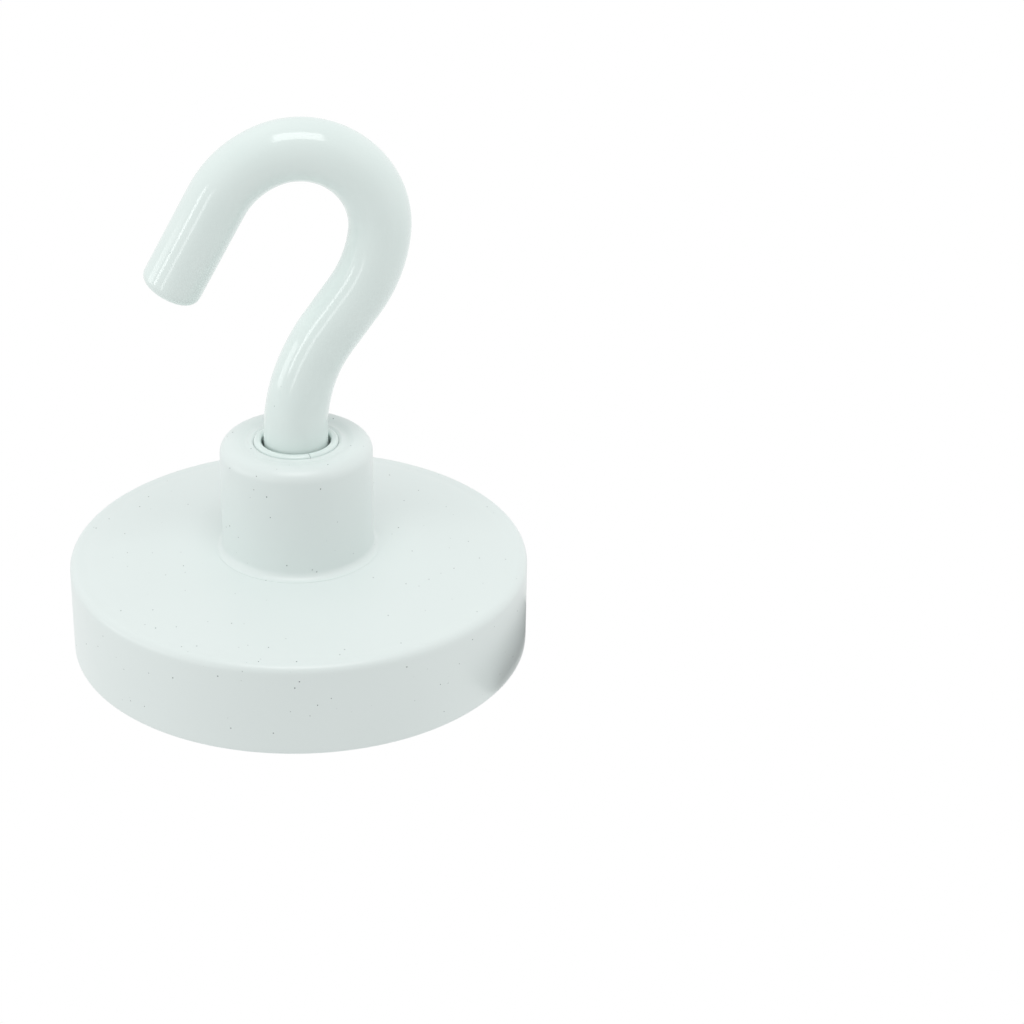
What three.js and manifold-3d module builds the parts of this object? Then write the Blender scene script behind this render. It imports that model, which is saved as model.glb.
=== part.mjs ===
// Hook pot magnet: a steel cup with a neodymium disc potted into its face, a threaded bush riveted
// through the middle of the cup, and a bent rod hook screwed into the bush.
// Millimetres, +Z up. The origin is the middle of the holding face, on the thread's axis; the hook
// lies in the XZ plane and opens towards -X.

import * as THREE from 'three';
import { mergeVertices } from 'three/addons/utils/BufferGeometryUtils.js';
import Module from 'manifold-3d';

const wasm = await Module();
wasm.setup();

// ---- driving dimensions -------------------------------------------------------------------

// cup, over its paint
const potDiameter = 32.3;
const potHeight = 6.9;           // to the top of its shoulder
const domeRise = 0.5;            // its top climbs this much more, from the shoulder to the bush
const shoulderWidth = 1.9;      // the shoulder starts this far in from the side
const shoulderDrop = 0.75;       // and runs into the side this far under the top
const potFootRadius = 0.25;      // small break where the wall meets the holding face
const potFloor = 2.1;            // thickness of the cup's closed end
const potWall = 2.3;             // thickness of its side
const lipChamfer = 0.26;         // lead-in round the mouth of the cavity

// magnet and the resin round it
const resinGap = 0.7;            // gap round the magnet, filled with resin
const magnetEdgeRadius = 0.35;
const glueThickness = 0.2;
const resinRecess = 0.45;        // how far the resin stays below the holding face

// threaded bush
const bossDiameter = 10.64;
const bossRise = 8.7;            // height of the bush over the shoulder of the cup
const bossEdgeRadius = 0.95;
const footWidth = 0.5;           // fillet round its foot, across and up
const footHeight = 0.8;
const crownFlat = 0.22;          // level stretch of the top, between its edge and its dish
const dishDepth = 0.15;          // how far the top falls from there to the ring's seat
const spigotDiameter = 8;
const holeFloor = 1.1;           // metal left under the threaded hole

// M5 x 0.8 thread
const threadCrest = 4.9;         // outside diameter on the stud
const threadPitch = 0.8;
const depthPerPitch = 0.5875;
const crestPerPitch = 0.125;
const flankSlope = 0.577;        // half-width gained for each millimetre down a 60 degree flank
const threadFit = 0.1;           // radial room between stud and hole
const flankFit = 0.06;           // room on each flank, along the axis
const studFloorGap = 0.5;        // stud end to the bottom of the hole
const runOutTurns = 0.75;        // where the thread fades out under the neck

// split ring round the neck
const collarWall = 0.57;
const collarHeight = 1.15;
const collarStandout = 0.18;     // how far it stands out of its seat
const collarSeam = 0.08;         // slit where the ends of the ring meet
const collarSeamAngle = -68;     // degrees round from +X
const collarEdge = 0.22;         // rounding of its top and bottom edges
const neckGap = 0.18;            // gap between the neck and the ring
const collarFit = 0.05;          // room round the ring in its seat
const collarLift = 0.05;         // room under it

// hook, along the middle of its rod
const rodDiameter = 4.22;
const neckUndersize = 0.42;      // the neck is this much thinner than the thread over its crests
const neckRise = 0.58;            // straight neck over the bush before the first bend
const neckTaperLength = 5.5;     // neck drawn down to the rod's diameter over this length
const leanAngle = 35;            // degrees the rod leans out towards +X
const leanBendRadius = 13;
const leanLength = 3.1;
const backRadius = 9.85;          // the bow is three arcs that run into one another
const backAngle = 29.3;
const crestRadius = 5.32;
const crestAngle = 117;
const frontRadius = 6.9;
const tailAngle = 151.6;         // degrees between straight up and the way the tail points
const tailLength = 7.3;
const tipRadius = 0.75;          // rounded edge of the rod's free end

// how finely the round surfaces are cut into flats
const roundSides = 48;
const threadSides = 16;
const rodSides = 16;
const collarSides = 24;
const filletSteps = 3;
const bendStep = 8;              // degrees of bend between two sections of the rod

// ---- sizes that follow --------------------------------------------------------------------

const cavityDiameter = potDiameter - 2 * potWall;
const magnetDiameter = cavityDiameter - 2 * resinGap;
const ceiling = potHeight - potFloor;
const magnetTop = ceiling - glueThickness;
const bossFoot = potHeight + domeRise;
const footRadius = bossDiameter / 2 + footWidth;
const bossTop = potHeight + bossRise;
const threadDepth = depthPerPitch * threadPitch;
const crestWidth = crestPerPitch * threadPitch;
const neckDiameter = threadCrest - neckUndersize;
const collarBore = neckDiameter + 2 * neckGap;
const collarDiameter = collarBore + 2 * collarWall;
const collarTop = bossTop - dishDepth + collarStandout;
const collarBottom = collarTop - collarHeight;
const seatFloor = collarBottom - collarLift;
const seatRadius = collarDiameter / 2 + collarFit;
const bossWall = bossDiameter / 2 - seatRadius;
const bossEdge = Math.min(bossEdgeRadius, 0.6 * bossWall);
const holeBottom = ceiling + holeFloor;
const holeRadius = threadCrest / 2 + threadFit - threadDepth;
const studEnd = holeBottom + studFloorGap;
const studRadius = threadCrest / 2 - threadDepth;
const neckShoulder = seatFloor + collarLift;
const neckBendStart = bossTop + neckRise;
const degree = Math.PI / 180;

// ---- making solids ------------------------------------------------------------------------

// Points of a quarter round about (cx, cz), from one angle to another in degrees; it is a quarter
// of an ellipse where its height isn't its width.
function roundEdge(cx, cz, width, from, to, height = width) {
  const points = [];
  for (let i = 0; i <= filletSteps; i += 1) {
    const angle = (from + (to - from) * i / filletSteps) * degree;
    points.push([cx + width * Math.cos(angle), cz + height * Math.sin(angle)]);
  }
  return points;
}

// A closed geometry from loose points and triangles, with its faces turned outwards.
function closedGeometry(points, triangles) {
  let volume = 0;
  for (const [a, b, c] of triangles) {
    volume += points[a].dot(new THREE.Vector3().crossVectors(points[b], points[c]));
  }
  const index = triangles.flatMap(([a, b, c]) => (volume > 0 ? [a, b, c] : [a, c, b]));
  const geometry = new THREE.BufferGeometry().setFromPoints(points);
  geometry.setIndex(index);
  return geometry;
}

// The outline, given as [radius, height] pairs, turned about the Z axis.
function turned(outline, sides = roundSides) {
  const closes = outline[0][0] > 0;
  const path = closes ? [...outline, outline[0]] : outline;
  const lathe = new THREE.LatheGeometry(path.map(([r, z]) => new THREE.Vector2(r, z)), sides);
  lathe.rotateX(Math.PI / 2);
  lathe.deleteAttribute('normal');
  lathe.deleteAttribute('uv');
  const merged = mergeVertices(lathe, 1e-5);
  const place = merged.getAttribute('position');
  const points = [];
  for (let i = 0; i < place.count; i += 1) {
    points.push(new THREE.Vector3().fromBufferAttribute(place, i));
  }
  const triangles = [];
  const index = merged.getIndex();
  for (let i = 0; i < index.count; i += 3) {
    const corners = [index.getX(i), index.getX(i + 1), index.getX(i + 2)];
    if (new Set(corners).size === 3) {
      triangles.push(corners);
    }
  }
  return closedGeometry(points, triangles);
}

// Rings of equal count joined one to the next, with a fan over each end.
function loft(rings) {
  const sides = rings[0].length;
  const points = rings.flat();
  const triangles = [];
  for (let i = 0; i + 1 < rings.length; i += 1) {
    for (let j = 0; j < sides; j += 1) {
      const a = i * sides + j;
      const b = i * sides + (j + 1) % sides;
      triangles.push([a, b, b + sides], [a, b + sides, a + sides]);
    }
  }
  const last = (rings.length - 1) * sides;
  for (let j = 1; j + 1 < sides; j += 1) {
    triangles.push([0, j + 1, j], [last, last + j, last + j + 1]);
  }
  return closedGeometry(points, triangles);
}

// The wedge-shaped section of a thread wound up the Z axis: halfWidth gives half its thickness at
// a radius, and its height fades to nothing over the last turns when runOut is set.
function helicalRidge({ innerRadius, outerRadius, halfWidth, from, to, runOut }) {
  const turns = (to - from) / threadPitch;
  const steps = Math.round(turns * threadSides);
  const rings = [];
  for (let i = 0; i <= steps; i += 1) {
    const turn = turns * i / steps;
    const angle = turn * 2 * Math.PI;
    const fade = runOut ? Math.min(1, (turns - turn) / runOut + 0.15) : 1;
    const outer = innerRadius + (outerRadius - innerRadius) * fade;
    const height = from + turn * threadPitch;
    const section = [
      [innerRadius, -halfWidth(innerRadius)],
      [outer, -halfWidth(outer)],
      [outer, halfWidth(outer)],
      [innerRadius, halfWidth(innerRadius)],
    ];
    rings.push(section.map(([r, z]) => (
      new THREE.Vector3(r * Math.cos(angle), r * Math.sin(angle), height + z))));
  }
  return loft(rings);
}

// Half the thickness of the stud's thread at a radius, or of the groove that gives it room.
function threadHalfWidth(radius, room = 0) {
  return crestWidth / 2 + (threadCrest / 2 - radius) * flankSlope + room;
}

function toSolid(geometry) {
  const bare = geometry.clone();
  bare.deleteAttribute('normal');
  bare.deleteAttribute('uv');
  const merged = mergeVertices(bare, 1e-5);
  return new wasm.Manifold(new wasm.Mesh({
    numProp: 3,
    vertProperties: new Float32Array(merged.getAttribute('position').array),
    triVerts: new Uint32Array(merged.getIndex().array),
  }));
}

function toGeometry(solid) {
  const mesh = solid.getMesh();
  const geometry = new THREE.BufferGeometry();
  geometry.setAttribute('position', new THREE.BufferAttribute(mesh.vertProperties, 3));
  geometry.setIndex(new THREE.BufferAttribute(mesh.triVerts, 1));
  return geometry;
}

// ---- pieces -------------------------------------------------------------------------------

// Pressed cup: rounded shoulder, a top that climbs to a level seat for the bush, a hole in its
// floor for the bush's spigot, and an open face.
function steelPot() {
  const wall = potDiameter / 2;
  const cavity = cavityDiameter / 2;
  return turned([
    ...roundEdge(wall - potFootRadius, potFootRadius, potFootRadius, -90, 0),
    ...roundEdge(wall - shoulderWidth, potHeight - shoulderDrop, shoulderWidth, 0, 90, shoulderDrop),
    [footRadius, bossFoot],
    [spigotDiameter / 2, bossFoot],
    [spigotDiameter / 2, ceiling],
    [cavity, ceiling],
    [cavity, lipChamfer],
    [cavity + lipChamfer, 0],
  ]);
}

// Turned bush: spigot in the cup's floor, small foot radius, rounded crown with a shallow dish,
// a seat for the split ring and a blind threaded hole.
function threadedBush() {
  const side = bossDiameter / 2;
  const crown = side - bossEdge - crownFlat;
  const foot = roundEdge(footRadius, bossFoot + footHeight, footWidth, 270, 180, footHeight);
  const blank = turned([
    [0, ceiling],
    [spigotDiameter / 2, ceiling],
    [spigotDiameter / 2, bossFoot],
    ...foot,
    ...roundEdge(side - bossEdge, bossTop - bossEdge, bossEdge, 0, 90),
    [crown, bossTop],
    [(crown + seatRadius) / 2, bossTop - dishDepth * 0.6],
    [seatRadius, bossTop - dishDepth],
    [seatRadius, seatFloor],
    [0, seatFloor],
  ]);
  const hole = turned([
    [0, holeBottom],
    [holeRadius, holeBottom],
    [holeRadius, seatFloor + threadPitch],
    [0, seatFloor + threadPitch],
  ], threadSides);
  const groove = helicalRidge({
    innerRadius: holeRadius - threadFit,
    outerRadius: threadCrest / 2 + threadFit,
    halfWidth: (radius) => threadHalfWidth(radius, flankFit),
    from: studEnd - threadPitch / 4,
    to: seatFloor + threadPitch,
  });
  const tap = toSolid(hole).add(toSolid(groove));
  return toGeometry(toSolid(blank).subtract(tap));
}

// Sintered disc with rounded edges, flush with the rim of the cup.
function magnetDisc() {
  const inner = magnetDiameter / 2 - magnetEdgeRadius;
  return turned([
    [0, 0],
    ...roundEdge(inner, magnetEdgeRadius, magnetEdgeRadius, -90, 0),
    ...roundEdge(inner, magnetTop - magnetEdgeRadius, magnetEdgeRadius, 0, 90),
    [0, magnetTop],
  ]);
}

// Black potting resin in the gap round the magnet, a little below the face.
function resinRing() {
  const inner = magnetDiameter / 2;
  const outer = cavityDiameter / 2;
  const sag = resinRecess / 3;
  return turned([
    [inner, resinRecess],
    [(inner + outer) / 2, resinRecess + sag],
    [outer, resinRecess],
    [outer, magnetTop],
    [inner, magnetTop],
  ]);
}

// Film of glue between the magnet and the floor of the cup.
function glueBed() {
  return turned([
    [0, magnetTop],
    [cavityDiameter / 2, magnetTop],
    [cavityDiameter / 2, ceiling],
    [0, ceiling],
  ]);
}

// Rolled split ring round the neck, with the slit where its ends meet.
function shankCollar() {
  const inner = collarBore / 2;
  const outer = collarDiameter / 2;
  const section = [
    ...roundEdge(outer - collarEdge, collarBottom + collarEdge, collarEdge, -90, 0),
    ...roundEdge(outer - collarEdge, collarTop - collarEdge, collarEdge, 0, 90),
    ...roundEdge(inner + collarEdge, collarTop - collarEdge, collarEdge, 90, 180),
    [inner, collarBottom],
  ];
  const middle = (inner + outer) / 2;
  const halfSlit = collarSeam / 2 / middle;
  const rings = [];
  for (let i = 0; i <= collarSides; i += 1) {
    const sweep = halfSlit + (2 * Math.PI - 2 * halfSlit) * i / collarSides;
    const angle = collarSeamAngle * degree + sweep;
    rings.push(section.map(([r, z]) => (
      new THREE.Vector3(r * Math.cos(angle), r * Math.sin(angle), z))));
  }
  return loft(rings);
}

// Stations up the middle of the rod: a place in the XZ plane, the heading from straight up
// (positive towards -X) and the rod's radius there.
function hookStations() {
  const stations = [];
  const place = new THREE.Vector2(0, studEnd);
  let heading = 0;
  const chamfer = threadDepth;
  const add = (radius) => stations.push({ x: place.x, z: place.y, heading, radius });
  const neckRadius = neckDiameter / 2;
  const rodRadius = rodDiameter / 2;
  let travelled = 0;
  const radiusHere = () => {
    const share = Math.min(1, travelled / neckTaperLength);
    return neckRadius + (rodRadius - neckRadius) * share;
  };
  const straight = (length, step) => {
    const pieces = Math.max(1, Math.round(length / step));
    for (let i = 0; i < pieces; i += 1) {
      place.x -= Math.sin(heading) * length / pieces;
      place.y += Math.cos(heading) * length / pieces;
      travelled += length / pieces;
      add(radiusHere());
    }
  };
  const bend = (radius, turnDegrees) => {
    const pieces = Math.ceil(Math.abs(turnDegrees) / bendStep);
    const side = Math.sign(turnDegrees) * radius;
    const centre = new THREE.Vector2(
      place.x - side * Math.cos(heading),
      place.y - side * Math.sin(heading),
    );
    for (let i = 0; i < pieces; i += 1) {
      heading += turnDegrees * degree / pieces;
      place.x = centre.x + side * Math.cos(heading);
      place.y = centre.y + side * Math.sin(heading);
      travelled += radius * Math.abs(turnDegrees) * degree / pieces;
      add(radiusHere());
    }
  };

  add(studRadius - chamfer);
  place.y = studEnd + chamfer;
  add(studRadius);
  place.y = neckShoulder;
  add(studRadius);
  add(neckRadius);
  place.y = neckBendStart;
  add(neckRadius);
  bend(leanBendRadius, -leanAngle);
  straight(leanLength, leanLength);
  bend(backRadius, backAngle);
  bend(crestRadius, crestAngle);
  bend(frontRadius, tailAngle + leanAngle - backAngle - crestAngle);
  straight(tailLength - tipRadius, tailLength);
  for (let i = 1; i <= filletSteps; i += 1) {
    const angle = 90 * degree * i / filletSteps;
    const before = Math.sin(90 * degree * (i - 1) / filletSteps);
    place.x -= Math.sin(heading) * tipRadius * (Math.sin(angle) - before);
    place.y += Math.cos(heading) * tipRadius * (Math.sin(angle) - before);
    add(rodRadius - tipRadius * (1 - Math.cos(angle)));
  }
  return stations;
}

// Bent rod with a rolled thread on its lower end.
function hook() {
  const rings = hookStations().map(({ x, z, heading, radius }) => {
    const ring = [];
    for (let j = 0; j < rodSides; j += 1) {
      const angle = 2 * Math.PI * j / rodSides;
      const across = radius * Math.cos(angle);
      ring.push(new THREE.Vector3(
        x + across * Math.cos(heading),
        radius * Math.sin(angle),
        z + across * Math.sin(heading),
      ));
    }
    return ring;
  });
  const thread = helicalRidge({
    innerRadius: studRadius - threadFit,
    outerRadius: threadCrest / 2,
    halfWidth: (radius) => threadHalfWidth(radius),
    from: studEnd + threadPitch * 0.75,
    to: neckShoulder - threadPitch / 2,
    runOut: runOutTurns,
  });
  return toGeometry(toSolid(loft(rings)).add(toSolid(thread)));
}

// ---- assembly -----------------------------------------------------------------------------

const whitePaint = { color: 0xe6eeec, roughness: 0.42, metalness: 0 };
const pieces = [
  ['steel_pot', steelPot, whitePaint],
  ['threaded_bush', threadedBush, whitePaint],
  ['magnet_disc', magnetDisc, { color: 0x4c5658, roughness: 0.35, metalness: 1 }],
  ['resin_ring', resinRing, { color: 0x101112, roughness: 0.2, metalness: 0 }],
  ['glue_bed', glueBed, { color: 0x1a1c1d, roughness: 0.4, metalness: 0 }],
  ['shank_collar', shankCollar, whitePaint],
  ['hook', hook, { ...whitePaint, roughness: 0.3 }],
];

const magnet = new THREE.Group();
for (const [name, make, look] of pieces) {
  const mesh = new THREE.Mesh(make(), new THREE.MeshStandardMaterial(look));
  mesh.name = name;
  magnet.add(mesh);
}

export default magnet;
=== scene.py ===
# Hook pot magnet: white powder coated cup and bush, plated magnet potted in black resin, and a
# gloss coated rod hook that screws out. Lengths in the dictionaries are millimetres.
import math

import bpy
import numpy as np
from mathutils import Matrix, Vector


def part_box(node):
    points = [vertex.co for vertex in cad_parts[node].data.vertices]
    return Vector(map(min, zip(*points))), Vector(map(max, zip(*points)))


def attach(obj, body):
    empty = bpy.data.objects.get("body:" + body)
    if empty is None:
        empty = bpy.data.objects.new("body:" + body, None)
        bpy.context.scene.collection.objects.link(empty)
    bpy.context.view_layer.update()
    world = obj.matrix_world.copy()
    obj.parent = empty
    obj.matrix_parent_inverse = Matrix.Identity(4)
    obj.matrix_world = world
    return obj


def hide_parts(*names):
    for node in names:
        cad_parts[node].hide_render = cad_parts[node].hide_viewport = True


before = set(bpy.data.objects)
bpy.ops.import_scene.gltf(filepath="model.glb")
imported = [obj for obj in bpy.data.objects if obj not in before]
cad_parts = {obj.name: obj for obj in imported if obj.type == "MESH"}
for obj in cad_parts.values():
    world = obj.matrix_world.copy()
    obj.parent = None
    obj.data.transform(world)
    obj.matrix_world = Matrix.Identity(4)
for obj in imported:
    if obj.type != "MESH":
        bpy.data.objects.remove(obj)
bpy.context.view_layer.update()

mm = 0.001


# ---- reading the frame

def frameSizes():
    # what the pieces share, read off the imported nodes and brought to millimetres
    pot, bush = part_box("steel_pot"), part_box("threaded_bush")
    disc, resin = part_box("magnet_disc"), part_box("resin_ring")
    collar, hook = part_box("shank_collar"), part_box("hook")
    return {
        "potRadius": pot[1].x / mm,
        "domeTop": pot[1].z / mm,
        "ceiling": bush[0].z / mm,
        "bushTop": bush[1].z / mm,
        "bushFoot": bush[1].x / mm,
        "discRadius": disc[1].x / mm,
        "discTop": disc[1].z / mm,
        "cavityRadius": resin[1].x / mm,
        "collarRadius": collar[1].x / mm,
        "collarBottom": collar[0].z / mm,
        "collarTop": collar[1].z / mm,
        "studEnd": hook[0].z / mm,
        "hookTop": hook[1].z / mm,
    }


size = frameSizes()
print("frame read:", {name: round(value, 3) for name, value in size.items()})


# ---- camera

cameraView = {
    "elevation": 28.05,      # degrees above the horizon
    "roll": 1.21,            # degrees that the magnet leans to the left
    "distance": 190.62,
    "lens": 95.02,
    "lookHeight": 8.075,     # point on the magnet's axis that the distance is measured from
    "shift": (0.209, 0.0219),  # the magnet stands left of the middle of the picture
    "clip": (5, 20000),
}


def makeCamera(view):
    # the camera stands at distance from the look point, at that elevation, and looks along +Y
    tilt, lean = math.radians(view["elevation"]), math.radians(view["roll"])
    back = Vector((0, -math.cos(tilt), math.sin(tilt)))
    level = Vector((0, math.sin(tilt), math.cos(tilt)))
    up = level * math.cos(lean) + Vector((1, 0, 0)) * math.sin(lean)
    turn = Matrix((up.cross(back), up, back)).transposed()
    eye = Vector((0, 0, view["lookHeight"])) + back * view["distance"]
    data = bpy.data.cameras.new("studioCamera")
    data.lens = view["lens"]
    data.shift_x, data.shift_y = view["shift"]
    data.clip_start, data.clip_end = (reach * mm for reach in view["clip"])
    camera = bpy.data.objects.new("studioCamera", data)
    camera.matrix_world = Matrix.Translation(eye * mm) @ turn.to_4x4()
    bpy.context.scene.collection.objects.link(camera)
    bpy.context.scene.camera = camera


makeCamera(cameraView)
print("camera placed")


# ---- outlines and surfaces

arcPieces = 8      # the fewest pieces in a rounded corner
straight = 0.001   # a corner this close to straight, in radians, isn't rounded
hair = 1e-6        # slack when two sizes are compared
sharpAngle = 35    # degrees between faces from which an edge is drawn sharp


def cornerRound(before, corner, after, radius, step):
    # arc of that radius that touches both legs of the corner: its centre lies on the bisector,
    # radius / tan(half the corner's angle) back along each leg
    a, b = before - corner, after - corner
    a, b = a / np.hypot(*a), b / np.hypot(*b)
    half = math.acos(np.clip(a @ b, -1, 1)) / 2
    if radius <= 0 or half > math.pi / 2 - straight:
        return corner[None]
    middle = (a + b) / np.hypot(*(a + b))
    centre = corner + middle * radius / math.sin(half)
    start = corner + a * radius / math.tan(half) - centre
    stop = corner + b * radius / math.tan(half) - centre
    sweep = math.pi - 2 * half
    count = max(arcPieces, math.ceil(sweep * radius / step)) + 1
    t = np.linspace(0, 1, count)[:, None]
    return centre + (np.sin((1 - t) * sweep) * start + np.sin(t * sweep) * stop) / math.sin(sweep)


def roundedOutline(corners, step, closed):
    # corners are (radius from the axis, height, rounding); the legs between the rounds are cut
    # into steps no longer than step
    places = np.array([c[:2] for c in corners], float)
    count = len(places)
    rounds = []
    for i, (*_, rounding) in enumerate(corners):
        before, after = places[i - 1], places[(i + 1) % count]
        inside = closed or 0 < i < count - 1
        rounds.append(cornerRound(before, places[i], after, rounding if inside else 0, step))
    stretches = []
    for i, arc in enumerate(rounds):
        stretches.append(arc)
        if not closed and i == count - 1:
            break
        start, stop = arc[-1], rounds[(i + 1) % count][0]
        pieces = math.ceil(np.hypot(*(stop - start)) / step)
        t = np.linspace(0, 1, max(pieces, 1) + 1)[1:-1, None]
        stretches.append(start + (stop - start) * t)
    return np.concatenate(stretches)


def easedRun(places, count):
    # between two places the height follows half a cosine, so that it is level at each place
    run = np.linspace(0, 1, count)[:-1]
    ease = 0.5 - 0.5 * np.cos(math.pi * run)
    return np.concatenate([np.stack([a[0] + (b[0] - a[0]) * run, a[1] + (b[1] - a[1]) * ease], -1)
                           for a, b in zip(places[:-1], places[1:])])


def meshFromRings(name, rings, loops=False, poles=None, faceSlots=None, marks=None):
    # quads between one ring and the next and round each ring; loops joins the last ring to the
    # first, and poles close the first and last ring with a fan to a point
    rows, columns = rings.shape[:2]
    points = rings.reshape(-1, 3)
    k = np.arange(rows if loops else rows - 1)[:, None] * columns
    up = (k + columns) % (rows * columns)
    j = np.arange(columns)[None]
    following = (j + 1) % columns
    quads = np.stack([k + j, k + following, up + following, up + j], -1).reshape(-1, 4)
    fans = np.zeros((0, 3), int)
    if poles is not None:
        first, last = rows * columns, rows * columns + 1
        points = np.concatenate([points, np.array(poles, float)])
        ring, turned = np.arange(columns), (np.arange(columns) + 1) % columns
        top = (rows - 1) * columns
        fans = np.concatenate([
            np.stack([np.full(columns, first), turned, ring], -1),
            np.stack([np.full(columns, last), top + ring, top + turned], -1),
        ])
    a, b, c, d = (points[quads[:, i]] for i in range(4))
    volume = np.einsum("ij,ij->", a, np.cross(b, c)) + np.einsum("ij,ij->", a, np.cross(c, d))
    if len(fans):
        a, b, c = (points[fans[:, i]] for i in range(3))
        volume += np.einsum("ij,ij->", a, np.cross(b, c))
    if volume < 0:
        quads, fans = quads[:, ::-1], fans[:, ::-1]
    mesh = bpy.data.meshes.new(name)
    mesh.vertices.add(len(points))
    mesh.vertices.foreach_set("co", (points * mm).ravel().astype(np.float32))
    mesh.loops.add(quads.size + fans.size)
    mesh.loops.foreach_set("vertex_index", np.concatenate([quads.ravel(), fans.ravel()]))
    counts = np.concatenate([np.full(len(quads), 4), np.full(len(fans), 3)])
    mesh.polygons.add(len(counts))
    mesh.polygons.foreach_set("loop_start", np.concatenate([[0], np.cumsum(counts)[:-1]]))
    if faceSlots is not None:
        slots = np.repeat(np.asarray(faceSlots)[:len(k)], columns)
        slots = np.concatenate([slots, np.repeat([faceSlots[0], faceSlots[-1]], columns)])
        mesh.polygons.foreach_set("material_index", slots[:len(counts)].astype(np.int32))
    mesh.update(calc_edges=True)
    mesh.validate()
    mesh.polygons.foreach_set("use_smooth", np.ones(len(mesh.polygons), bool))
    mesh.set_sharp_from_angle(angle=math.radians(sharpAngle))
    for mark, values in (marks or {}).items():
        layer = mesh.attributes.new(mark, "FLOAT", "POINT")
        spread = np.repeat(values, columns)
        spread = np.concatenate([spread, [values[0], values[-1]]])[:len(points)]
        layer.data.foreach_set("value", spread.astype(np.float32))
    piece = bpy.data.objects.new(name, mesh)
    bpy.context.scene.collection.objects.link(piece)
    return piece


def turnedPiece(name, outline, sides, closed, shape=None, slotOf=None, markOf=None):
    # x = r cos(angle), y = r sin(angle), z = height, with r and height down the outline;
    # shape may change r with the angle, as a thread does
    angle = np.linspace(0, 2 * math.pi, sides, endpoint=False)[None]
    body = outline if closed else outline[1:-1]
    radius, height = body[:, :1], body[:, 1:]
    r = radius + 0 * angle if shape is None else shape(radius, height, angle)
    rings = np.stack([r * np.cos(angle), r * np.sin(angle), height + 0 * angle], -1)
    poles = None if closed else [(0, 0, outline[0, 1]), (0, 0, outline[-1, 1])]
    slots = None if slotOf is None else slotOf(body[:, 0], body[:, 1])
    marks = None if markOf is None else {"bright": markOf(body[:, 0], body[:, 1])}
    return meshFromRings(name, rings, closed, poles, slots, marks)


def finishPiece(piece, body, replaced, materials):
    for material in materials:
        piece.data.materials.append(material)
    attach(piece, body)
    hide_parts(*replaced)
    print("made", piece.name, len(piece.data.polygons), "faces")
    return piece


# ---- materials

def hexColour(code):
    # sRGB hex to linear: c / 12.92 under 0.04045, else ((c + 0.055) / 1.055) ^ 2.4
    c = np.array([int(code[i:i + 2], 16) for i in (1, 3, 5)]) / 255
    linear = np.where(c <= 0.04045, c / 12.92, ((c + 0.055) / 1.055) ** 2.4)
    return (*linear.tolist(), 1.0)


def addNode(tree, kind, settings=None, links=None):
    node = tree.nodes.new("ShaderNode" + kind)
    for name, value in (settings or {}).items():
        if isinstance(name, str) and hasattr(node, name):
            setattr(node, name, value)
        else:
            node.inputs[name].default_value = value
    for name, socket in (links or {}).items():
        tree.links.new(socket, node.inputs[name])
    return node


def newMaterial(name):
    material = bpy.data.materials.new(name)
    material.use_nodes = True
    material.node_tree.nodes.clear()
    return material, material.node_tree


def closeMaterial(tree, settings, links):
    shader = addNode(tree, "BsdfPrincipled", settings, links)
    output = addNode(tree, "OutputMaterial")
    tree.links.new(shader.outputs["BSDF"], output.inputs["Surface"])


def colourBetween(tree, low, high, factor):
    mix = addNode(tree, "Mix", {"data_type": "RGBA"}, {0: factor})
    mix.inputs[6].default_value, mix.inputs[7].default_value = hexColour(low), hexColour(high)
    return mix.outputs[2]


def colourOver(tree, under, code, factor):
    mix = addNode(tree, "Mix", {"data_type": "RGBA"}, {0: factor, 6: under})
    mix.inputs[7].default_value = hexColour(code)
    return mix.outputs[2]


def valueBetween(tree, span, factor):
    settings = {"To Min": span[0], "To Max": span[1]}
    return addNode(tree, "MapRange", settings, {"Value": factor}).outputs["Result"]


def addNoise(tree, place, width, detail, roughness=0.5):
    # width is that of one grain of the pattern
    settings = {"Scale": 1 / (width * mm), "Detail": detail, "Roughness": roughness}
    return addNode(tree, "TexNoise", settings, {"Vector": place}).outputs["Fac"]


def addBump(tree, relief, height, under=None, inward=False):
    # relief is the bump's strength and depth; under is the relief that this one lies on
    strength, depth = relief
    links = {"Height": height}
    if under is not None:
        links["Normal"] = under
    settings = {"Strength": strength, "Distance": depth * mm, "invert": inward}
    return addNode(tree, "Bump", settings, links).outputs["Normal"]


def addSpecks(tree, place, look):
    # one dot at the middle of each cell, full over its core; gives the dots and the cells' colours
    cells = addNode(tree, "TexVoronoi", {"Scale": 1 / (look["speckCell"] * mm)}, {"Vector": place})
    edge = look["speckSize"] / look["speckCell"]
    dots = addNode(tree, "MapRange", {"interpolation_type": "SMOOTHSTEP",
                                      "From Min": edge * look["speckCore"], "From Max": edge,
                                      "To Min": look["speckMost"], "To Max": 0.0},
                   {"Value": cells.outputs["Distance"]})
    return dots.outputs["Result"], cells.outputs["Color"]


powderLook = {
    "light": "#e6efed",
    "shade": "#e2ebe9",
    "cloud": 9.0,          # width of the slow change between the two
    "peel": 0.55,          # width of one dimple of the orange peel
    "peelRelief": (0.35, 0.010),
    "grain": 0.09,         # fine tooth of the powder
    "grainRelief": (0.20, 0.004),
    "rough": (0.30, 0.38),
    "speck": "#5f6e70",
    "speckCell": 0.80,     # pinholes are scattered in cells of this width
    "speckSize": 0.06,
    "speckCore": 0.45,     # share of a pinhole that is full
    "speckMost": 1.0,
    "speckFull": 0.7,      # cells with a random value over this have a pinhole of full strength
    "pitRelief": (0.6, 0.05),
    "index": 1.5,
}


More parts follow.
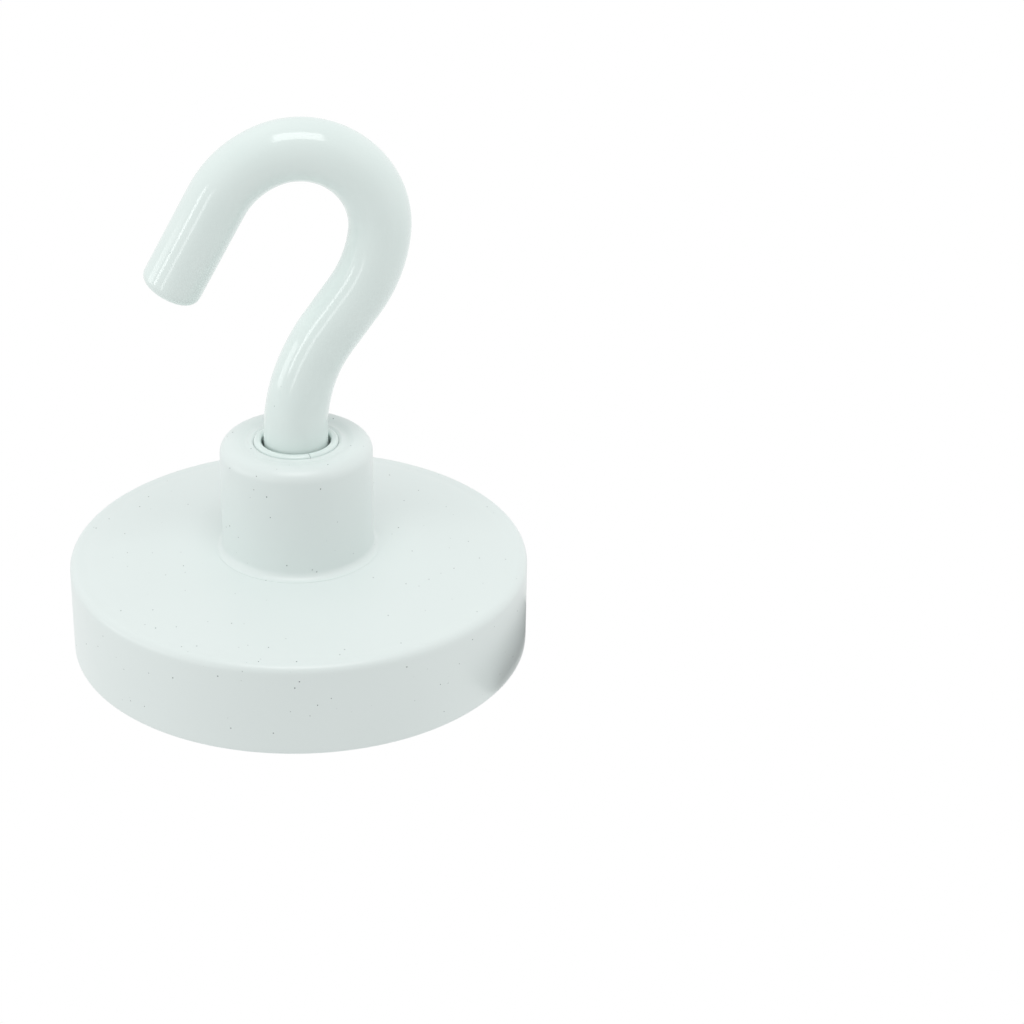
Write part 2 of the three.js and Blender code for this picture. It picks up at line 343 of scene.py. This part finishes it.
def powderCoat(look):
    # Polyester powder coat, sprayed and stoved: satin, with orange peel that breaks up the
    # highlights, a fine tooth and dark pinholes, most of them faint.
    material, tree = newMaterial("powderCoatWhite")
    place = addNode(tree, "TexCoord").outputs["Object"]
    cloud = addNoise(tree, place, look["cloud"], 1.0)
    peel = addNoise(tree, place, look["peel"], 1.0, 0.4)
    grain = addNoise(tree, place, look["grain"], 1.0)
    dots, random = addSpecks(tree, place, look)
    strength = addNode(tree, "MapRange", {"From Max": look["speckFull"]}, {"Value": random})
    holes = addNode(tree, "Math", {"operation": "MULTIPLY"},
                    {0: dots, 1: strength.outputs["Result"]}).outputs[0]
    base = colourBetween(tree, look["shade"], look["light"], cloud)
    fine = addBump(tree, look["grainRelief"], grain)
    wavy = addBump(tree, look["peelRelief"], peel, fine)
    pits = addBump(tree, look["pitRelief"], holes, wavy, inward=True)
    closeMaterial(tree, {"IOR": look["index"]}, {
        "Base Color": colourOver(tree, base, look["speck"], holes),
        "Roughness": valueBetween(tree, look["rough"], grain),
        "Normal": pits,
    })
    return material


glossLook = {
    "light": "#e6f1ee",
    "shade": "#e2eeeb",
    "ripple": 2.6,         # long soft swell that a dipped coat dries with
    "rippleRelief": (0.25, 0.03),
    "tooth": 0.16,
    "toothRelief": (0.12, 0.003),
    "rough": (0.08, 0.14),
    "speck": "#7a8987",
    "speckCell": 1.6,
    "speckSize": 0.06,
    "speckCore": 0.4,
    "speckMost": 0.7,
    "index": 1.5,
}


def glossCoat(look):
    # Gloss coat over steel rod, dipped and stoved: soft edged, with a slow swell along the rod
    # and a few specks of dust.
    material, tree = newMaterial("dipCoatWhite")
    place = addNode(tree, "TexCoord").outputs["Object"]
    swell = addNoise(tree, place, look["ripple"], 0.0)
    tooth = addNoise(tree, place, look["tooth"], 1.0)
    dust, _ = addSpecks(tree, place, look)
    base = colourBetween(tree, look["shade"], look["light"], swell)
    fine = addBump(tree, look["toothRelief"], tooth)
    closeMaterial(tree, {"IOR": look["index"]}, {
        "Base Color": colourOver(tree, base, look["speck"], dust),
        "Roughness": valueBetween(tree, look["rough"], tooth),
        "Normal": addBump(tree, look["rippleRelief"], swell, fine),
    })
    return material


platedLook = {
    # dark and light: the grit's two tones, both held dark as a painted reflection of dark
    # surroundings in the plate
    "dark": "#3c4949",
    "light": "#5e6e6e",
    "grit": 0.16,          # ground face, grains drawn a little coarse so that they show
    "gritSpan": (0.32, 0.68),  # the noise's values between which dark turns to light
    "gritRelief": (0.5, 0.006),
    "rough": (0.30, 0.46),
    # edge: painted highlight, the pale colour laid along rounded edges where they catch the light
    "edge": "#d9dcd4",
    "edgeRough": 0.16,
}


def groundPlate(look, name):
    # Nickel plate over a ground face: satin with fine grit. Its dark colour is a painted reflection
    # of dark surroundings, and the pale band along the broken edges is a painted highlight.
    material, tree = newMaterial(name)
    place = addNode(tree, "TexCoord").outputs["Object"]
    grit = addNoise(tree, place, look["grit"], 2.0, 0.6)
    low, high = look["gritSpan"]
    grains = addNode(tree, "MapRange", {"From Min": low, "From Max": high}, {"Value": grit})
    # the bright mark is the painted highlight band on the edges
    bright = addNode(tree, "Attribute", {"attribute_name": "bright"}).outputs["Fac"]
    # face: the grit's tones, darkened as a painted dark reflection
    face = colourBetween(tree, look["dark"], look["light"], grains.outputs["Result"])
    satin = valueBetween(tree, look["rough"], grit)
    rough = addNode(tree, "Mix", {"data_type": "FLOAT", 3: look["edgeRough"]}, {0: bright, 2: satin})
    closeMaterial(tree, {"Metallic": 1.0}, {
        "Base Color": colourOver(tree, face, look["edge"], bright),
        "Roughness": rough.outputs[0],
        "Normal": addBump(tree, look["gritRelief"], grit),
    })
    return material


zincLook = {
    "dark": "#8f9594",
    "light": "#b9bfbd",
    "streak": 0.35,        # length of a streak; it is flattened by the next number
    "flatten": 4,
    "relief": (0.3, 0.004),
    "rough": (0.28, 0.42),
}


def zincPlate(look):
    # Zinc plated steel as rolled: pale satin metal with short streaks round the thread.
    material, tree = newMaterial("zincPlatedThread")
    place = addNode(tree, "TexCoord").outputs["Object"]
    flat = addNode(tree, "Mapping", {"Scale": (1, 1, look["flatten"])}, {"Vector": place})
    streak = addNoise(tree, flat.outputs["Vector"], look["streak"], 3.0)
    closeMaterial(tree, {"Metallic": 1.0}, {
        "Base Color": colourBetween(tree, look["dark"], look["light"], streak),
        "Roughness": valueBetween(tree, look["rough"], streak),
        "Normal": addBump(tree, look["relief"], streak),
    })
    return material


resinLook = {
    "dark": "#080a0a",
    "light": "#141817",
    "flow": 1.8,
    "relief": (0.3, 0.02),
    "rough": (0.12, 0.26),
    "index": 1.55,
}


def castResin(look):
    # Black epoxy, poured and left to level: near black and glossy with a slow uneven flow.
    material, tree = newMaterial("epoxyBlack")
    place = addNode(tree, "TexCoord").outputs["Object"]
    flow = addNoise(tree, place, look["flow"], 1.0)
    closeMaterial(tree, {"IOR": look["index"]}, {
        "Base Color": colourBetween(tree, look["dark"], look["light"], flow),
        "Roughness": valueBetween(tree, look["rough"], flow),
        "Normal": addBump(tree, look["relief"], flow),
    })
    return material


powder = powderCoat(powderLook)
gloss = glossCoat(glossLook)
magnetPlate = groundPlate(platedLook, "nickelGroundMagnet")
rimPlate = groundPlate(platedLook, "nickelGroundRim")
zinc = zincPlate(zincLook)
resin = castResin(resinLook)
print("materials made")


# ---- cup

cup = {
    "dome": 0.5,           # the top climbs this much from the shoulder to the bush
    "seat": 5.82,          # radius of the bush's foot
    "level": 0.4,          # level ring between the climb and the seat
    "climbRound": 3.0,     # roundings at the climb's upper and lower end
    "bankRound": 6.0,
    "shoulder": 0.60,      # rounding where the side turns into the shoulder
    "bank": (1.9, 0.15),   # shoulder falls this far over that width
    "crease": (1.15, 0.02),  # faint crease in the bank: distance from the side, depth
    "creaseWidth": 0.3,
    "foot": 0.25,
    "coat": 0.15,          # thickness of the powder coat
    "lap": 0.32,           # how far the coat laps under the rim
    "lapRound": 0.02,
    "paintRoom": 0.01,     # the steel stays this much inside its coat
    "lip": 0.26,           # chamfer round the mouth of the cavity
    "broken": 0.03,        # rounding of the steel's edges
    "spigot": 4.0,
    "sides": 256,
    "step": 0.16,
}


def makeCupCoat(p):
    # closed skin: out over the dome, the banked shoulder, down the side, round the foot, and back
    # up the inside of the coat; the crease is a bell curve cut into the bank
    outer, top = size["potRadius"], size["domeTop"] - p["dome"]
    inner, under = outer - p["coat"], top - p["coat"] - p["bank"][1]
    width, fall = p["bank"]
    outline = roundedOutline([
        (p["spigot"], top + p["dome"], 0),
        (p["seat"] - p["level"], top + p["dome"], p["climbRound"]),
        (outer - width, top, p["bankRound"]),
        (outer, top - fall, p["shoulder"]),
        (outer, 0, p["foot"]),
        (outer - p["lap"], 0, p["lapRound"]),
        (inner, p["coat"], 0),
        (inner, under, p["shoulder"] - p["coat"]),
        (p["spigot"], under, 0),
    ], p["step"], True)
    place, deep = p["crease"]
    away = (outline[:, 0] - outer + place) / p["creaseWidth"]
    outline[:, 1] -= np.where(outline[:, 1] > top - fall, deep * np.exp(-away ** 2), 0)
    return turnedPiece("cupCoat", outline, p["sides"], True)


def makeCupSteel(p):
    # closed cup: rim face, chamfered mouth, cavity wall and floor with the spigot's hole
    outer = size["potRadius"] - p["coat"]
    top = size["domeTop"] - p["dome"] - p["coat"] - p["bank"][1] - p["paintRoom"]
    cavity = size["cavityRadius"]
    outline = roundedOutline([
        (p["spigot"], top, 0),
        (outer, top, p["shoulder"] - p["coat"]),
        (outer, p["coat"], 0),
        (size["potRadius"] - p["lap"] - p["paintRoom"], p["paintRoom"], p["broken"]),
        (cavity + p["lip"], 0, p["broken"]),
        (cavity, p["lip"], p["broken"]),
        (cavity, size["ceiling"], 0),
        (p["spigot"], size["ceiling"], 0),
    ], p["step"], True)

    # the mouth's chamfer and its rounded edges carry the painted highlight
    def paintedHighlightBand(radius, height):
        reach = p["lip"] + p["broken"]
        return ((radius < cavity + reach) & (height < reach)).astype(float)

    return turnedPiece("cupSteel", outline, p["sides"], True, markOf=paintedHighlightBand)


finishPiece(makeCupCoat(cup), "magnet_body", ["steel_pot"], [powder])
finishPiece(makeCupSteel(cup), "magnet_body", ["steel_pot"], [rimPlate])


# ---- magnet, resin and glue

disc = {
    "edge": 0.20,
    "land": 0.30,          # width of the band inside the edge, which carries the painted highlight
    "setBack": 0.03,       # the band lies this much behind the face
    "bevel": 0.04,         # width of the slope between face and band
    "nick": 0.035,         # depth of the fine line between band and edge
    "nickHalf": 0.03,
    "bevelRound": 0.02,
    "nickRound": 0.01,
    "backEdge": 0.3,
    "paintedHighlightTo": 0.5,     # height up to which the edge carries the painted highlight
    "sides": 256,
    "step": 0.3,
}


def makeDisc(p):
    # face, fine line, rounded edge, side and back, closed on the axis
    outer, top, back = size["discRadius"], size["discTop"], p["setBack"]
    face, line, half = outer - p["land"], outer - p["edge"] - p["nickHalf"], p["nickHalf"]
    outline = roundedOutline([
        (0, 0, 0),
        (face, 0, p["bevelRound"]),
        (face + p["bevel"], back, p["bevelRound"]),
        (line - half, back, p["nickRound"]),
        (line, back + p["nick"], p["nickRound"]),
        (line + half, back, p["nickRound"]),
        (outer, back, p["edge"]),
        (outer, top, p["backEdge"]),
        (0, top, 0),
    ], p["step"], False)

    # the band inside the edge and the lower part of the edge carry the painted highlight
    def paintedHighlightBand(radius, height):
        return ((radius > face - p["nickRound"]) & (height < p["paintedHighlightTo"])).astype(float)

    return turnedPiece("magnetDisc", outline, p["sides"], False, markOf=paintedHighlightBand)


pour = {
    "recess": 0.45,        # the free surface lies this far behind the face at its edges
    "sink": 0.12,          # and this much further in between
    "rows": 17,
    "sides": 256,
    "step": 0.5,
}


def makeResin(p):
    # the free surface hangs between magnet and wall as a shallow parabola
    inner, outer = size["discRadius"], size["cavityRadius"]
    t = np.linspace(-1, 1, p["rows"])
    free = np.stack([(inner + outer) / 2 + t * (outer - inner) / 2,
                     p["recess"] + p["sink"] * (1 - t ** 2)], -1)
    walls = roundedOutline([(outer, p["recess"], 0), (outer, size["discTop"], 0),
                            (inner, size["discTop"], 0), (inner, p["recess"], 0)],
                           p["step"], False)
    outline = np.concatenate([free, walls[1:-1]])
    return turnedPiece("pottingResin", outline, p["sides"], True)


finishPiece(makeDisc(disc), "magnet_body", ["magnet_disc"], [magnetPlate])
finishPiece(makeResin(pour), "magnet_body", ["resin_ring"], [resin])
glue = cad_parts["glue_bed"]
glue.data.materials.clear()
glue.data.materials.append(resin)


# ---- thread shared by the stud and the bush

thread = {
    "start": 0.6,          # height of the ridge over the stud's end on the +X side
    "crest": 2.45,
    "root": 1.98,
    "pitch": 0.8,
    "crestHalf": 0.05,
    "flank": 0.577,        # half-width gained for each millimetre down the flank
    "fit": 0.10,
    "flankFit": 0.06,
}


def distanceToRidge(height, angle):
    # how far a height is from the nearest turn of a right-hand helix that climbs one pitch a turn
    start = size["studEnd"] + thread["start"]
    rise = height - start - thread["pitch"] * angle / (2 * math.pi)
    return np.abs((rise + thread["pitch"] / 2) % thread["pitch"] - thread["pitch"] / 2)


def fade(height, start, stop):
    # 0 before start and 1 after stop, smooth between
    t = np.clip((height - start) / (stop - start), 0, 1)
    return t * t * (3 - 2 * t)


# ---- bush

bush = {
    "edge": 0.95,
    "footRise": 0.55,      # fillet round the foot: height, width and rows
    "footWidth": 0.5,
    "footRows": 18,
    "skirt": 0.02,         # the foot goes on this far below the cup's top
    "crownFlat": 0.25,     # level ring inside the rounded edge
    "groove": (3.48, 0.15),  # faint groove round the top: radius, depth under the crown
    "lip": (3.18, 0.08),   # low lip inside it
    "softRows": 13,        # rows on each slope of the groove
    "mouth": 0.15,         # depth of the mouth's edge under the crown
    "mouthRound": 0.05,
    "seatRoom": 0.02,      # paint closes the fit down to this
    "seatLift": 0.05,      # the seat lies this much below the collar
    "seatRound": 0.02,
    "holeRim": 0.01,       # plain rim of the hole under the seat
    "holeFloor": 1.1,
    "runOut": (0.2, 0.8),  # heights over the floor between which the groove reaches full depth
    "sides": 192,
    "step": 0.15,
    "threadStep": 0.05,
}


def makeBush(p):
    # spigot, foot (a quarter of an ellipse), side and rounded crown, a soft groove and lip down to
    # the collar's seat, then the threaded hole, whose radius follows the distance to the helix
    top, foot = size["bushTop"], size["bushFoot"]
    side = foot - p["footWidth"]
    crown = side - p["edge"] - p["crownFlat"]
    seat = size["collarRadius"] + p["seatRoom"]
    seatFloor = size["collarBottom"] - p["seatLift"]
    hole = thread["root"] + thread["fit"]
    bottom = size["ceiling"] + p["holeFloor"]
    hem = size["domeTop"] - p["skirt"]
    outside = roundedOutline([
        (0, size["ceiling"], 0),
        (cup["spigot"], size["ceiling"], 0),
        (cup["spigot"], hem, 0),
        (foot, hem, 0),
        (foot, size["domeTop"], 0),
    ], p["step"], False)
    turn = np.linspace(0, math.pi / 2, p["footRows"] + 2)[1:-1]
    fillet = np.stack([foot - p["footWidth"] * np.sin(turn),
                       size["domeTop"] + p["footRise"] * (1 - np.cos(turn))], -1)
    upper = roundedOutline([
        (side, size["domeTop"] + p["footRise"], 0),
        (side, top, p["edge"]),
        (crown, top, 0),
    ], p["step"], False)
    outside = np.concatenate([outside, fillet, upper])
    soft = easedRun([(crown, top), (p["groove"][0], top - p["groove"][1]),
                     (p["lip"][0], top - p["lip"][1])], p["softRows"])
    inside = roundedOutline([
        (p["lip"][0], top - p["lip"][1], 0),
        (seat, top - p["mouth"], p["mouthRound"]),
        (seat, seatFloor, p["seatRound"]),
        (hole, seatFloor, 0),
        (hole, seatFloor - p["holeRim"], 0),
    ], p["threadStep"], False)
    rows = int((seatFloor - bottom) / p["threadStep"])
    wall = np.stack([np.full(rows, hole), np.linspace(seatFloor - p["threadStep"], bottom, rows)], -1)
    floor = roundedOutline([(hole, bottom, 0), (0, bottom, 0)], p["step"], False)
    outline = np.concatenate([outside[:-1], soft, inside, wall, floor[1:]])

    def threaded(radius, height, angle):
        away = distanceToRidge(height, angle)
        groove = thread["crest"] + thread["fit"] - np.maximum(
            away - thread["crestHalf"] - thread["flankFit"], 0) / thread["flank"]
        cut = np.maximum(groove, hole) - hole
        deep = fade(height, *(bottom + rise for rise in p["runOut"]))
        # full depth on the hole's wall; the seat's rows draw back where the groove runs out
        threadedPart = (radius > hole - hair) & (radius < seat) & (height < seatFloor + hair)
        share = np.clip((seat - radius) / (seat - hole), 0, 1)
        return radius + np.where(threadedPart, cut * deep * share, 0 * angle)

    def bare(radius, height):
        inHole = (radius <= hole + hair) & (height > bottom - hair)
        inCup = (radius <= cup["spigot"] + hair) & (height < hem + hair)
        return (inHole | inCup).astype(int)

    return turnedPiece("bushBody", outline, p["sides"], False, threaded, bare)


finishPiece(makeBush(bush), "magnet_body", ["threaded_bush"], [powder, zinc])


# ---- collar

collar = {
    "bore": 2.41,
    "edge": 0.20,
    "seam": 0.02,          # open slit between the ends
    "seamAngle": -71,      # degrees round from +X
    "endRound": 0.06,
    "sides": 240,
    "step": 0.04,
}


def makeCollar(p):
    # rounded section carried round the neck; near the slit it shrinks towards its own middle by
    # a quarter round, so that the seam reads as a fine crease
    inner, outer = p["bore"], size["collarRadius"]
    low, high = size["collarBottom"], size["collarTop"]
    section = roundedOutline([(inner, low, 0.1), (outer, low, 0.1), (outer, high, p["edge"]),
                              (inner, high, p["edge"])], p["step"], True)
    middle = np.array([(inner + outer) / 2, (low + high) / 2])
    half = p["seam"] / 2 / middle[0]
    ends = p["endRound"] / middle[0]
    near = half + ends * (1 - np.cos(np.linspace(0, math.pi / 2, 7)))
    along = np.concatenate([near, np.linspace(near[-1], 2 * math.pi - near[-1], p["sides"])[1:-1],
                            2 * math.pi - near[::-1]])
    gap = np.minimum(along, 2 * math.pi - along) - half
    t = np.clip(gap / ends, 0, 1)
    pull = p["endRound"] * (1 - np.sqrt(1 - (1 - t) ** 2))
    away = section - middle
    reach = np.hypot(away[:, 0], away[:, 1])[:, None]
    shrunk = section[None] - (away / reach)[None] * pull[:, None, None]
    angle = math.radians(p["seamAngle"]) + along[:, None]
    rings = np.stack([shrunk[..., 0] * np.cos(angle), shrunk[..., 0] * np.sin(angle),
                      shrunk[..., 1]], -1)
    poles = [rings[0].mean(0), rings[-1].mean(0)]
    return meshFromRings("shankCollar", rings, False, poles)


finishPiece(makeCollar(collar), "collar", ["shank_collar"], [gloss])


# ---- hook

rod = {
    "radius": 2.11,
    "neck": 2.24,
    "plain": 2.0,          # length of neck before it draws down
    "taper": 5.5,          # the neck draws down to the rod over this length
    "chamfer": 0.47,
    "tip": 0.75,
    "tipRows": 14,
    "neckRise": 0.58,      # straight neck over the bush
    "headroom": 0.002,     # the bow stays this much under the frame's hook
    "runIn": 0.9,          # the ridge grows over this length from the stud's end
    "runOut": (0.9, 0.25),  # and fades between these distances below the neck
    "shoulder": 0.12,      # the stud widens into the neck over this length
    "coatEnd": 0.06,       # the coat reaches this far below the neck
    "fineTo": 0.3,         # rows are close up to this far over the shoulder
    "studEvery": 2,        # steps of the line from row to row on the stud
    "rodEvery": 12,        # and on the rod
    "bends": [             # (length, radius) of each stretch; a bend to the left has radius > 0
        (35, -13.0), (3.1, 0), (29.3, 9.85), (117, 5.32), (40.3, 6.9), (7.3, 0),
    ],
    "blend": 1.2,          # a bend comes in over this length
    "sides": 128,
    "step": 0.02,
}


def hookLine(p, rise):
    # the heading is the running sum of the curvature up the rod, and the place is the running
    # sum of the heading's direction; a bend's length is its radius times its angle
    start = size["bushTop"] + rise
    lengths = [start - size["studEnd"]]
    curves = [0.0]
    for amount, radius in p["bends"]:
        lengths.append(math.radians(amount) * abs(radius) if radius else amount)
        curves.append(1 / radius if radius else 0.0)
    total = sum(lengths)
    s = np.arange(0, total, p["step"])
    ends = np.cumsum(lengths)
    curvature = np.array(curves)[np.searchsorted(ends, s, side="right").clip(0, len(curves) - 1)]
    window = np.hanning(int(p["blend"] / p["step"]) + 2)
    padded = np.pad(curvature, len(window), mode="edge")
    smooth = np.convolve(padded, window / window.sum(), "same")[len(window):-len(window)]
    heading = np.cumsum(smooth) * p["step"]
    x = -np.cumsum(np.sin(heading)) * p["step"]
    z = size["studEnd"] + np.cumsum(np.cos(heading)) * p["step"]
    return s, x, z, heading, total


def makeHook(p):
    # a circle of radius r(s, angle) carried up the line: thread, shoulder, neck, rod, round tip;
    # the straight neck gives way so that the bow comes no higher than the frame's hook
    over = hookLine(p, p["neckRise"])[2].max() + p["radius"] - size["hookTop"]
    s, x, z, heading, total = hookLine(p, p["neckRise"] - max(over, 0) - p["headroom"])
    shoulder = size["collarBottom"] - size["studEnd"]
    fine = shoulder + p["fineTo"]
    stud = s[s < fine][::p["studEvery"]]
    bent = s[(s >= fine) & (s < total - p["tip"])][::p["rodEvery"]]
    turn = np.linspace(0, math.pi / 2, p["tipRows"] + 1)[:-1]
    last = total - p["tip"] + p["tip"] * np.sin(turn)
    rows = np.concatenate([stud, bent, last])
    cx, cz, lean = (np.interp(rows, s, value) for value in (x, z, heading))
    r = p["neck"] + (p["radius"] - p["neck"]) * np.clip(
        (rows - shoulder - p["plain"]) / p["taper"], 0, 1)
    tip = np.clip((rows - (total - p["tip"])) / p["tip"], 0, 1)
    r = r - p["tip"] * (1 - np.sqrt(1 - tip ** 2))
    angle = np.linspace(0, 2 * math.pi, p["sides"], endpoint=False)[None]
    height = size["studEnd"] + rows[:, None]
    away = distanceToRidge(height, angle)
    ridge = thread["crest"] - np.maximum(away - thread["crestHalf"], 0) / thread["flank"]
    runOut = fade(rows, *(shoulder - below for below in p["runOut"]))
    grown = fade(rows, 0, p["runIn"]) * (1 - runOut)
    root = np.minimum(thread["root"], thread["root"] - p["chamfer"] + rows)
    studRadius = root[:, None] + np.maximum(ridge - thread["root"], 0) * grown[:, None]
    toNeck = fade(rows, shoulder - p["shoulder"], shoulder)[:, None]
    full = studRadius * (1 - toNeck) + r[:, None] * toNeck
    across, deep = full * np.cos(angle), full * np.sin(angle)
    rings = np.stack([cx[:, None] + across * np.cos(lean)[:, None], deep,
                      cz[:, None] + across * np.sin(lean)[:, None]], -1)
    tipPlace = (cx[-1] - math.sin(lean[-1]) * (total - rows[-1]), 0,
                cz[-1] + math.cos(lean[-1]) * (total - rows[-1]))
    poles = [(0, 0, size["studEnd"]), tipPlace]
    slots = (rows < shoulder - p["coatEnd"]).astype(int)
    return meshFromRings("rodHook", rings, False, poles, slots)


finishPiece(makeHook(rod), "hook", ["hook"], [gloss, zinc])


# ---- floor and light

studio = {
    "floor": 6000,
    "floorGap": 0.02,
    "paper": "#ffffff",
    "paperGlow": 1.0,
    "tent": 1.09,          # mean brightness of the tent
    "tentSlope": (0.09, 0.06, -0.20),  # how it rises towards +X, +Y and +Z
    "gap": (0.08, -0.99, 0.08),  # way to the tent's dark opening
    "gapReach": (0.60, 0.98),    # cosines where it starts and where it is full
    "gapDepth": 0.55,
    "lamps": [  # name, place, size, watts
        ("topBox", (0, -150, 430), (280, 200), 0.64),
        ("leftBox", (-400, 20, 30), (150, 110), 0.10),
        ("frontLeftBox", (-360, -130, 80), (50, 130), 0.08),
        ("frontBox", (-270, -300, 15), (50, 130), 0.05),
    ],
    "flag": (16.5, 20.0),      # black card on the floor beside the cup: inner and outer radius
    "flagSpan": (-34, 12),     # degrees round from +X
    "flagPlaces": 40,
    "card": ("#101010", "#181818"),
    "fibre": 0.4,
    "aim": 15,                 # height on the axis that the lamps point at
}


def makeFloor(p):
    # white paper under the magnet, lit evenly enough to show no shade. It only shows from above
    # and gives nothing back, because the tent below it does that, so that the holding face can
    # be looked at from below.
    material, tree = newMaterial("paperFloor")
    paper = addNode(tree, "Emission", {"Color": hexColour(p["paper"]), "Strength": p["paperGlow"]})
    clear = addNode(tree, "BsdfTransparent")
    below = addNode(tree, "NewGeometry").outputs["Backfacing"]
    mixed = addNode(tree, "MixShader", None, {0: below, 1: paper.outputs["Emission"],
                                              2: clear.outputs["BSDF"]})
    addNode(tree, "OutputMaterial", None, {"Surface": mixed.outputs["Shader"]})
    half, level = p["floor"] / 2 * mm, -p["floorGap"] * mm
    mesh = bpy.data.meshes.new("paperFloor")
    mesh.from_pydata([(-half, -half, level), (half, -half, level), (half, half, level),
                      (-half, half, level)], [], [(0, 1, 2, 3)])
    mesh.materials.append(material)
    floor = bpy.data.objects.new("paperFloor", mesh)
    floor.visible_diffuse = floor.visible_glossy = False
    floor.visible_transmission = floor.visible_shadow = False
    bpy.context.scene.collection.objects.link(floor)


def makeFlag(p):
    # a strip of black card in an arc round the right of the cup, which takes light off the foot
    # of its side
    material, tree = newMaterial("blackCard")
    place = addNode(tree, "TexCoord").outputs["Object"]
    shade = colourBetween(tree, *p["card"], addNoise(tree, place, p["fibre"], 2.0))
    card = addNode(tree, "BsdfDiffuse", None, {"Color": shade})
    addNode(tree, "OutputMaterial", None, {"Surface": card.outputs["BSDF"]})
    count = p["flagPlaces"]
    angle = np.radians(np.linspace(*p["flagSpan"], count))
    way = np.stack([np.cos(angle), np.sin(angle)], -1)
    edges = np.array(p["flag"])[None, :, None] * way[:, None]
    points = np.concatenate([edges, np.zeros((count, 2, 1))], -1).reshape(-1, 3) * mm
    k = np.arange(count - 1) * 2
    faces = np.stack([k, k + 1, k + 3, k + 2], -1)
    mesh = bpy.data.meshes.new("blackFlag")
    mesh.from_pydata(points.tolist(), [], faces.tolist())
    mesh.materials.append(material)
    flag = bpy.data.objects.new("blackFlag", mesh)
    flag.visible_camera = False
    bpy.context.scene.collection.objects.link(flag)


def makeTent(p):
    # the tent's brightness is its mean plus the dot product of the direction and its slope, less
    # a smooth step about the way to its opening; the eye sees it plain white
    world = bpy.data.worlds.new("studioTent")
    bpy.context.scene.world = world
    world.use_nodes = True
    tree = world.node_tree
    tree.nodes.clear()
    way = addNode(tree, "TexCoord").outputs["Generated"]
    slope = addNode(tree, "VectorMath", {"operation": "DOT_PRODUCT"}, {0: way})
    slope.inputs[1].default_value = p["tentSlope"]
    level = addNode(tree, "Math", {"operation": "ADD", 1: p["tent"]},
                    {0: slope.outputs["Value"]})
    facing = addNode(tree, "VectorMath", {"operation": "DOT_PRODUCT"}, {0: way})
    facing.inputs[1].default_value = p["gap"]
    start, full = p["gapReach"]
    gap = addNode(tree, "MapRange", {"interpolation_type": "SMOOTHSTEP", "From Min": start,
                                     "From Max": full, "To Max": p["gapDepth"]},
                  {"Value": facing.outputs["Value"]})
    level = addNode(tree, "Math", {"operation": "SUBTRACT"},
                    {0: level.outputs[0], 1: gap.outputs["Result"]})
    seen = addNode(tree, "LightPath").outputs["Is Camera Ray"]
    bright = addNode(tree, "Mix", {"data_type": "FLOAT", 3: 1.0}, {0: seen, 2: level.outputs[0]})
    tent = addNode(tree, "Background", None, {"Strength": bright.outputs[0]})
    addNode(tree, "OutputWorld", None, {"Surface": tent.outputs["Background"]})


def makeLamps(p):
    for name, place, (wide, tall), watts in p["lamps"]:
        data = bpy.data.lights.new(name, "AREA")
        data.shape, data.size, data.size_y = "RECTANGLE", wide * mm, tall * mm
        data.energy = watts
        lamp = bpy.data.objects.new(name, data)
        spot = Vector(place) * mm
        lamp.location = spot
        away = spot - Vector((0, 0, p["aim"])) * mm
        lamp.rotation_euler = away.to_track_quat("Z", "Y").to_euler()
        bpy.context.scene.collection.objects.link(lamp)


bpy.context.scene.view_settings.view_transform = "Standard"
makeFloor(studio)
makeFlag(studio)
makeTent(studio)
makeLamps(studio)
print("floor and lights placed")
